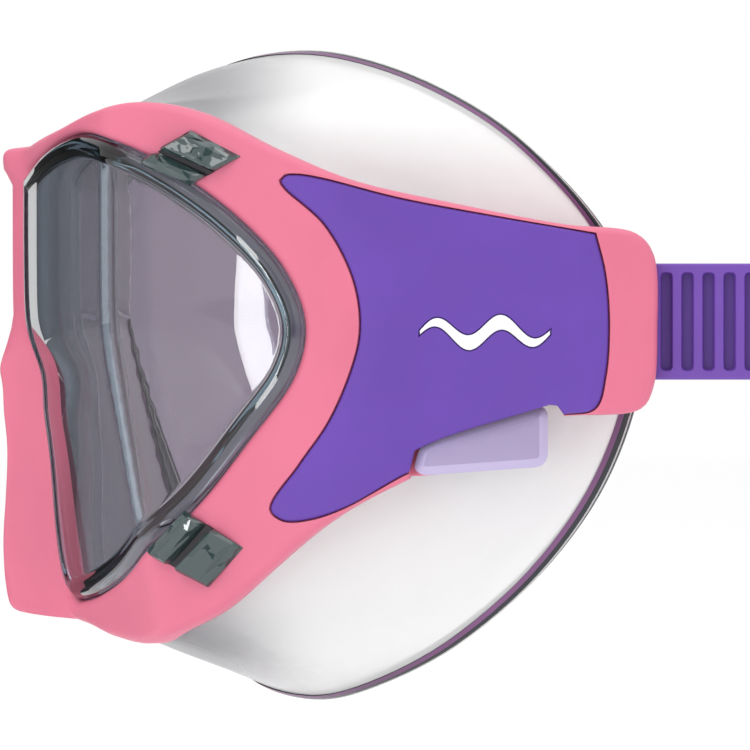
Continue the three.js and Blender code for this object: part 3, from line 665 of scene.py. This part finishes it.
def lens_part():
    def top(p, d):
        t = LENS_OUT + edge_round(d, 1.1)
        return t + 0.3 * (ease(d, 0.2, 1.1) - ease(d, 1.9, 3.0))

    def bottom(p, d):
        rim = FRAME_IN - edge_round(d, 0.5)
        return rim + (PANE_IN - FRAME_IN) * ease(d, 1.8, 2.9)

    rr = round_rings(1.1, 5) + \
        [1.3, 1.5, 1.7, 1.85, 2.0, 2.15, 2.3, 2.5, 2.7, 2.85, 3.0, 3.2, 3.6]
    return sheet_mesh(LENS, [], top, bottom, wrap, 1.5, rr)


both_sides("lens", lens_part(), "mask", GLASS, smooth=50)
for place, corners in FEET.items():
    both_sides(f"lens_hook_{place}", hook_part(corners), "mask", HOOK_CLEAR_PAINTED_REFLECTION, "lens", 12)
    # a dark piece of painted shadow stands in for each hook's slot
    both_sides(f"hook_slot_{place}", slot_shadow_part(corners), "mask", SLOT_SHADOW_PAINT, "lens", 12)

ret = sheet_mesh(grow(LENS, -0.8), [grow(LENS, -2.8)],
                 lambda p, d: FLANGE_IN - 0.3 + edge_round(d, 0.3),
                 lambda p, d: -5.2 - edge_round(d, 0.3), wrap, 1.2, [0.04, 0.15, 0.3])
both_sides("lens_retainer", ret, "mask", GASKET)

# ------------------------------------------------------------------ side panels and wave inlays
s = np.linspace(0, 1, 49)
mid = np.stack([103 + 16.5 * s, 5.4 + 1.3 * np.sin(s * np.pi * 4)], -1)
half = (0.25 + 0.75 * np.sin(np.pi * s))
WAVE = np.vstack([mid - np.stack([0 * s, half], -1), (mid + np.stack([0 * s, half], -1))[::-1]])


def panel_part():
    pocket = grow(WAVE, 0.12)

    def top(p, d):
        t = PANEL_OUT + edge_round(d, 0.4) - 0.25 * (1 - ease(d, 0, 3.0))
        s = signed(p, pocket)
        return np.where(s > -0.02, POCKET_FLOOR, t)

    rr = round_rings(0.4) + [1.2]
    return sheet_mesh(PANEL, [], top, lambda p, d: PANEL_FLOOR + 0.15 - edge_round(d, 0.1), wrap,
                      1.4, rr, extra=[pocket, grow(pocket, 0.06)])


both_sides("side_panel", panel_part(), "mask", PURPLE, smooth=35)
inlay = sheet_mesh(WAVE, [], lambda p, d: PANEL_OUT + 0.1 + edge_round(d, 0.15),
                   lambda p, d: POCKET_FLOOR + 0.05 + 0 * d, wrap, 0.8, [0.05, 0.15])
both_sides("wave_inlay", inlay, "mask", WHITE)

# ------------------------------------------------------------------ levers
lever = outline([(4.9, -12, 1), (5.7, -9.1, 1), (7.2, -8.3, 1), (21.4, -3.9, 1), (22, -4.6, 1),
                 (22, -10.8, 1), (21.2, -11.7, 1), (6, -12.8, 1)], 0.5, 2)


def lever_part():
    rr = [0.1, 0.6, 1.1, 1.2]

    def top(p, d):
        return LEVER_X[1] - 1.0 * (1 - np.clip(d / 1.15, 0, 1))

    return sheet_mesh(lever, [], top, lambda p, d: LEVER_X[0] - edge_round(d, 0.5), AXES["X"],
                      1.2, rr)


lv = temp(lever_part())
cut(lv, box_part(65.9, 69.7, 0, 10.5, -20, 0))          # room for the frame's hinge lug
spring_hole = np.array([(SPRING_AT[0] + SPRING_HOLE_R * math.cos(a),
                         SPRING_AT[1] + SPRING_HOLE_R * math.sin(a))
                        for a in np.linspace(0, 2 * np.pi, 28, endpoint=False)])
cut(lv, prism("Z", spring_hole, -7.2, 0, 0.2))
lv = mesh_part(lv)
finger = prism("Z", outline([(66.4, 19.4, 1), (68.2, 19.4, 1), (68.2, 21.2, 1), (66.4, 21.2, 1)],
                            0.5), -6, 0.6, 0.2)
# painted highlight: the chamfer round the outer face gets a paler lilac
repaint(both_sides("squeeze_lever", merge([lv, finger], 1e-5), "lever", LILAC,
                   smooth=30), LILAC_PAINTED_HIGHLIGHT,
        lambda q: 0.55 < abs(q.normal.x) < 0.9 and abs(q.center.x) > (LEVER_X[1] - 1.1) * MM)


# ------------------------------------------------------------------ strap
def strap_section():
    """Half thickness and height offsets round the strap's section, centre at 0, 0."""
    n_edge, r, pts = 4, 0.45, []
    for cx, cz, a0 in ((1, 1, 0), (-1, 1, 90), (-1, -1, 180), (1, -1, 270)):
        for k in range(n_edge + 1):
            a = math.radians(a0 + 90 * k / n_edge)
            pts.append((cx * (STRAP_T / 2 - r) + r * math.cos(a),
                        cz * (STRAP_W / 2 - r) + r * math.sin(a)))
    return np.array(pts)


def sweep(path, normals):
    """path and outward normals in X,Y; the strap stands along Z."""
    sec = strap_section()
    rows = []
    for p, nn in zip(path, normals):
        rows.append(np.stack([p[0] + sec[:, 0] * nn[0], p[1] + sec[:, 0] * nn[1],
                              STRAP_Z + sec[:, 1]], -1))
    return loft(rows, closed_rows=False, cap=True)


FIRST_RUNG = 37.1 - 4 * PITCH


def ribbed(y0, y1, place, rungs, tip=0.0, open_at=None):
    """A strap length laid flat: plan (y, z), the ladder recesses on the top face."""
    z0, z1 = Z_LO, Z_HI
    if tip:
        pts = [(y0, z0, 1), (y1 - tip, z0, 1), (y1 - tip * 0.25, z0 + tip * 0.35),
               (y1, STRAP_Z), (y1 - tip * 0.25, z1 - tip * 0.35), (y1 - tip, z1, 1), (y0, z1, 1)]
    else:
        pts = [(y0, z0, 1), (y1, z0, 1), (y1, z1, 1), (y0, z1, 1)]
    plan = outline(pts, 1.0)
    loops = [outline([(y - RUNG_GAP / 2, STRAP_Z - RUNG_H / 2, 1),
                      (y + RUNG_GAP / 2, STRAP_Z - RUNG_H / 2, 1),
                      (y + RUNG_GAP / 2, STRAP_Z + RUNG_H / 2, 1),
                      (y - RUNG_GAP / 2, STRAP_Z + RUNG_H / 2, 1)], 0.35, 2) for y in rungs]

    def top(p, d):
        t = STRAP_T + edge_round(d, 0.4)
        for y, lp in zip(rungs, loops):
            near = np.abs(p[:, 0] - y) < 1.6
            if near.any():
                sd = signed(p[near], lp)
                t[near] -= RUNG_DEPTH * ease(sd, -0.12, 0.14)
        return t

    extra = []
    for lp in loops:
        extra += [grow(lp, 0.12), lp, grow(lp, -0.14)]
    return sheet_mesh(plan, [], top, lambda p, d: -edge_round(d, 0.4), place, 1.6,
                      [0.03, 0.12, 0.25, 0.4], extra, open_at)


OUT_X, IN_X = ROLLER_X + TURN_R, ROLLER_X - TURN_R
tail = ribbed(TURN_END + 0.3, TAIL_END, lambda y, z, t: np.stack([OUT_X + t, y, z], -1),
              [FIRST_RUNG + i * PITCH for i in range(18)], tip=5)
RECESS_X = OUT_X + STRAP_T - RUNG_DEPTH         # the recess floors get painted shade, a darker purple
repaint(both_sides("strap_tail", tail, "tail", STRAPM, smooth=45), RECESS_PAINTED_SHADE,
        lambda q: abs(abs(q.center.x) - RECESS_X * MM) < 0.25 * MM)

a = np.linspace(math.pi, 2 * math.pi, 25)
r = TURN_R + STRAP_T / 2
path = [(ROLLER_X - r, TURN_END)] + [(ROLLER_X + r * math.cos(t), ROLLER_Y + r * math.sin(t))
                                     for t in a] + [(ROLLER_X + r, TURN_END)]
nrm = [(-1, 0)] + [(math.cos(t), math.sin(t)) for t in a] + [(1, 0)]
turn = sweep(path, nrm)
both_sides("strap_turn", turn, "mask", STRAPM)

MIDR = IN_X - STRAP_T / 2
BACK = LOOP_BACK - LOOP_STRAIGHT
th = np.linspace(0, np.pi / 2, 400)
ex, ey = MIDR * np.cos(th), LOOP_STRAIGHT + BACK * np.sin(th)
arc = LOOP_STRAIGHT + np.concatenate([[0], np.cumsum(np.hypot(np.diff(ex), np.diff(ey)))])
LOOP_LEN = arc[-1]


def on_loop(y, z, t):                          # y is the length along the strap, t the thickness
    e = np.interp(y, arc, th)
    cx = np.where(y < LOOP_STRAIGHT, MIDR, MIDR * np.cos(e))
    cy = np.where(y < LOOP_STRAIGHT, y, LOOP_STRAIGHT + BACK * np.sin(e))
    nx, ny = np.cos(e) / MIDR, np.sin(e) / BACK
    l = np.hypot(nx, ny)
    nx, ny = np.where(y < LOOP_STRAIGHT, 1, nx / l), np.where(y < LOOP_STRAIGHT, 0, ny / l)
    off = STRAP_T / 2 - t
    return np.stack([cx + off * nx, cy + off * ny, z], -1)


def loop_half():
    rungs = [FIRST_RUNG + i * PITCH for i in range(7)]
    v, f = ribbed(TURN_END + 0.3, LOOP_LEN, on_loop, rungs, open_at=LOOP_LEN)
    return v, [q[::-1] for q in f]


lh = loop_half()
loop_ob = new_object("strap_loop_band", *merge([lh, flip_x(lh)], 5e-3), "strap", 45)
dress(loop_ob, STRAPM)
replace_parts(loop_ob, "strap_loop")

keeper = prism("Y", outline([(Z_LO - 1.7, 59.2, 1), (Z_HI + 1.7, 59.2, 1), (Z_HI + 1.7, 72.6, 1),
                             (Z_LO - 1.7, 72.6, 1)], 0.8, 3), 66, 72, 0.5,
               holes=[box_loop(*LANE, 60, 71.3, 0.8)], spacing=1.5)
both_sides("strap_keeper", keeper, "keeper", PURPLE)

# ------------------------------------------------------------------ skirt
SKIRT = [
    ((0, 28.9), (0, -27.6, 35), 1.2), ((12, 29.6), (12, -24.9, 35.6), 0.2),
    ((25, 30.2), (24, -19.9, 39.4), 0.3), ((38, 31), (35, -12, 41.2), 1),
    ((48, 32.2), (44, -3.5, 40.6), 0.9), ((58, 33.3), (51.4, 7, 36.9), 0.4),
    ((69, 33), (57, 18.5, 30), -1), ((80, 28.6), (59.2, 27.6, 21), -2.8),
    ((88, 20.5), (59.7, 32.6, 12.8), -3.6), ((91, 11), (59.8, 34.6, 4.2), -3.8),
    ((89.6, 1.4), (59.5, 33, -4.9), -3.6), ((84.4, -7.6), (58.3, 28.7, -15.2), -2.8),
    ((78, -16.4), (55.4, 21.1, -25.3), -1), ((70.6, -25), (50, 10.6, -34.1), 0.8),
    ((60.5, -31.6), (43, 0.6, -39.3), 1), ((48, -33), (36, -6.4, -41.4), 0.8),
    ((36, -32), (29.5, -13.2, -40.4), -0.2), ((26, -31), (24.6, -17.7, -37), -1.6),
    ((18.4, -28.8), (20.6, -21.4, -31), -1.4), ((16.5, -21.5), (18, -24.6, -21.5), 0),
    ((14.4, -12), (15.2, -28, -12), 0), ((10.4, -2.4), (10.6, -31.4, -3), 0),
    ((5, 5), (5, -34.6, 4.6), 0), ((0, 7.9), (0, -35.6, 7.2), 0),
]


BROW = (2.4, 1.1, 1.2)                         # swelling over each eye: station, spread, height
WEB = [(-44.2, 8.6, 1), (-36, 7.9, 1), (-35.4, 9.5), (-35.2, 23.6), (-36.4, 26.2),
       (-40, 29.4), (-42, 29.4, 1), (-44.2, 28, 1)]


def closed_curve(pts, per):
    """Smooth closed curve through points, per samples between two of them."""
    p = np.array(pts, float)
    n, out = len(p), []
    for i in range(n):
        a, b, c, d = p[i - 1], p[i], p[(i + 1) % n], p[(i + 2) % n]
        t1 = np.linalg.norm(b - a) ** 0.5
        t2 = t1 + np.linalg.norm(c - b) ** 0.5
        t3 = t2 + np.linalg.norm(d - c) ** 0.5
        for k in range(per):
            t = t1 + (t2 - t1) * k / per
            a1 = (t1 - t) / t1 * a + t / t1 * b
            a2 = (t2 - t) / (t2 - t1) * b + (t - t1) / (t2 - t1) * c
            a3 = (t3 - t) / (t3 - t2) * c + (t - t2) / (t3 - t2) * d
            b1 = (t2 - t) / t2 * a1 + t / t2 * a2
            b2 = (t3 - t) / (t3 - t1) * a2 + (t - t1) / (t3 - t1) * a3
            out.append((t2 - t) / (t2 - t1) * b1 + (t - t1) / (t2 - t1) * b2)
    return np.array(out)


def skirt_wall(rings=26, per=6):
    f0 = [tuple(wrap(np.array(float(u)), np.array(float(z)), FLANGE_IN + 0.1, True))
          for (u, z), _, _ in SKIRT]
    r0 = [r for _, r, _ in SKIRT]
    b0 = [(b, 0, 0) for _, _, b in SKIRT]
    back = lambda q: q + [(-x, y, z) for x, y, z in q[1:-1][::-1]]
    F = closed_curve(back(f0), per)
    R = closed_curve(back(r0), per)
    ring = [b[0] for b in b0] + [b[0] for b in b0[1:-1]][::-1]
    B = np.interp(np.arange(len(ring) * per) / per, np.arange(len(ring) + 1), ring + ring[:1])
    k = np.arange(len(ring) * per) / per
    brow = BROW[2] * np.exp(-((np.minimum(k, len(ring) - k) - BROW[0]) / BROW[1]) ** 2)
    vs = np.linspace(0, 1, rings)
    grid = []
    for v in vs:
        p = F * (1 - v) + R * v
        out = np.stack([p[:, 0], 0 * p[:, 0], p[:, 2] - 10], -1)
        out /= np.linalg.norm(out, axis=1)[:, None]
        push = B * math.sin(math.pi * math.sqrt(v)) + brow * math.sin(math.pi * v * v)
        grid.append(p + out * push[:, None])
    g = np.array(grid)
    du = np.roll(g, -1, 1) - np.roll(g, 1, 1)
    dv = np.gradient(g, axis=0)
    nrm = np.cross(dv, du)
    nrm /= np.linalg.norm(nrm, axis=2)[:, :, None]
    bead = np.clip((vs - 0.93) / 0.07, 0, 1)[:, None, None]
    inner = g + nrm * 0.25 * bead
    outer = g - nrm * (SKIRT_WALL + 0.25 * bead)
    wall = loft(list(inner) + list(outer[::-1]))
    middle = (inner[-1] + outer[-1]) / 2
    run = dv[-1] / np.linalg.norm(dv[-1], axis=1)[:, None]
    bead = [middle + run * (0.3 - s) + nrm[-1] * t for s, t in RIM_SECTION]
    return (wall[0], [q[::-1] for q in wall[1]]), loft(bead)


# Section of the rim bead: distance in from its tip, offset from the middle of the wall.
RIM_SECTION = [(1.9, 0.84), (1.2, 0.96), (0.65, 0.95), (0.2, 0.72), (0, 0.28), (0, -0.28),
               (0.2, -0.72), (0.65, -0.95), (1.2, -0.96), (1.9, -0.84)]


def flange_part():
    edge = outline([(0, 28.9, 1)] + [p for p, _, _ in SKIRT[1:-1]] + [(0, 7.9, 1)], 1.0)
    edge = grow(edge, 0.5)
    edge[:, 0] = np.maximum(edge[:, 0], 0)
    return sheet_mesh(edge, [grow(LENS, -2.3)], lambda p, d: FLANGE_OUT + edge_round(d, 0.3),
                      lambda p, d: FLANGE_IN + 0.02 - edge_round(d, 0.3),
                      lambda u, z, t: wrap(u, z, t, True), 2.2, [0.04, 0.15, 0.3],
                      open_at=0)


fl = flange_part()
fl = merge([fl, flip_x(fl)])
web = prism("X", outline(WEB, 0.7), -0.85, 0.85, 0.6)
wall, bead = skirt_wall()
skirt_ob = dress(new_object("face_skirt", *merge([wall, fl, web], 1e-6), "mask", 60),
                 SKIRTM)
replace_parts(skirt_ob, "skirt")
rim_ob = dress(new_object("face_skirt_rim", *bead, "mask", 60), RIM_PAINTED_DARK_REFLECTION)
rim_ob.data.materials.append(RIM_PAINTED_PINK_REFLECTION)
# the bead's strips next to the wall get the painted purple-pink reflection
around = len(bead[0]) // len(RIM_SECTION)
for i, q in enumerate(rim_ob.data.polygons):
    if i // around in (0, len(RIM_SECTION) - 2):
        q.material_index = 1
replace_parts(rim_ob, "skirt")

# ------------------------------------------------------------------ CAD nodes that stay
for side in ("left", "right"):
    for n, m, sl in (("lever_pin", STEEL, "pin_steel"), ("lever_spring", STEEL, "pin_steel"),
                     ("roller_pin", STEEL, "pin_steel"), ("pawl_pin", STEEL, "pin_steel"),
                     ("roller", NYLON, "inner_plastic"), ("pawl", NYLON, "inner_plastic")):
        dress(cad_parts[f"{n}_{side}"], m)

# ------------------------------------------------------------------ studio
world = bpy.data.worlds.new("studio")
bpy.context.scene.world = world
world.use_nodes = True
world.node_tree.nodes["Background"].inputs["Color"].default_value = (1, 1, 1, 1)
world.node_tree.nodes["Background"].inputs["Strength"].default_value = 1.0


def floor():
    me = bpy.data.meshes.new("floor")
    n, s = 12, 14.0
    v = [((i / n - 0.5) * s, (j / n - 0.5) * s, -0.09) for j in range(n + 1) for i in range(n + 1)]
    f = [[j * (n + 1) + i, j * (n + 1) + i + 1, (j + 1) * (n + 1) + i + 1, (j + 1) * (n + 1) + i]
         for j in range(n) for i in range(n)]
    me.from_pydata(v, [], f)
    ob = bpy.data.objects.new("floor", me)
    bpy.context.scene.collection.objects.link(ob)
    m = moulded("floor_paper", (0.985, 0.985, 0.985), 0.95, vary=0.003, depth=0.02)
    m.node_tree.nodes["Principled BSDF"].inputs["Specular IOR Level"].default_value = 0.0
    me.materials.append(m)


floor()


def aim(ob, at, target, axis):                 # puts ob at a point with its axis to the target
    bpy.context.scene.collection.objects.link(ob)
    ob.location = at
    ob.rotation_mode = "QUATERNION"
    ob.rotation_quaternion = (Vector(target) - Vector(at)).to_track_quat(axis, "Y")


def area_light(name, at, size, power, shape="RECTANGLE"):
    d = bpy.data.lights.new(name, "AREA")
    d.shape = shape
    d.size, d.size_y = size
    d.energy = power
    aim(bpy.data.objects.new(name, d), at, (0, 0, 0), "-Z")


area_light("key", (0.75, -0.55, 0.95), (0.5, 0.5), 2.6)
area_light("side", (0.9, 0.75, 0.25), (0.5, 0.8), 0.3)
area_light("top", (0, 0, 1.4), (1.2, 1.2), 5)
area_light("strip", (0.95, -0.70, -0.05), (0.12, 0.22), 0.8, shape="ELLIPSE")


def card(name, at, size, target=(0, 0, 0)):    # a dark flag that shows only in reflections
    me = bpy.data.meshes.new(name)
    w, h = size[0] / 2, size[1] / 2
    me.from_pydata([(-w, -h, 0), (w, -h, 0), (w, h, 0), (-w, h, 0)], [], [(0, 1, 2, 3)])
    ob = bpy.data.objects.new(name, me)
    aim(ob, at, target, "Z")
    me.materials.append(CARD)
    ob.visible_camera = False
    ob.visible_shadow = False
    ob.visible_diffuse = False
    ob.visible_transmission = False


CARD = moulded("flag_cloth", (0.03, 0.03, 0.032), 0.9)
card("flag_near", (1.7, 0, 0.1), (1.5, 1.7))
card("flag_front", (-1.25, -1.15, 0), (1.5, 1.6))
card("flag_low", (-0.85, -0.8, -0.088), (1.5, 1.4), target=(-0.85, -0.8, 1))

cam = bpy.data.cameras.new("camera")
cam.lens = 350.4
cam.clip_start, cam.clip_end = 0.05, 50
cam_ob = bpy.data.objects.new("camera", cam)
bpy.context.scene.collection.objects.link(cam_ob)
cam_ob.location = (1.0, 0, 0)
cam_ob.rotation_euler = (math.radians(90), 0, math.radians(90))
bpy.context.scene.camera = cam_ob
bpy.context.scene.view_settings.view_transform = "Standard"
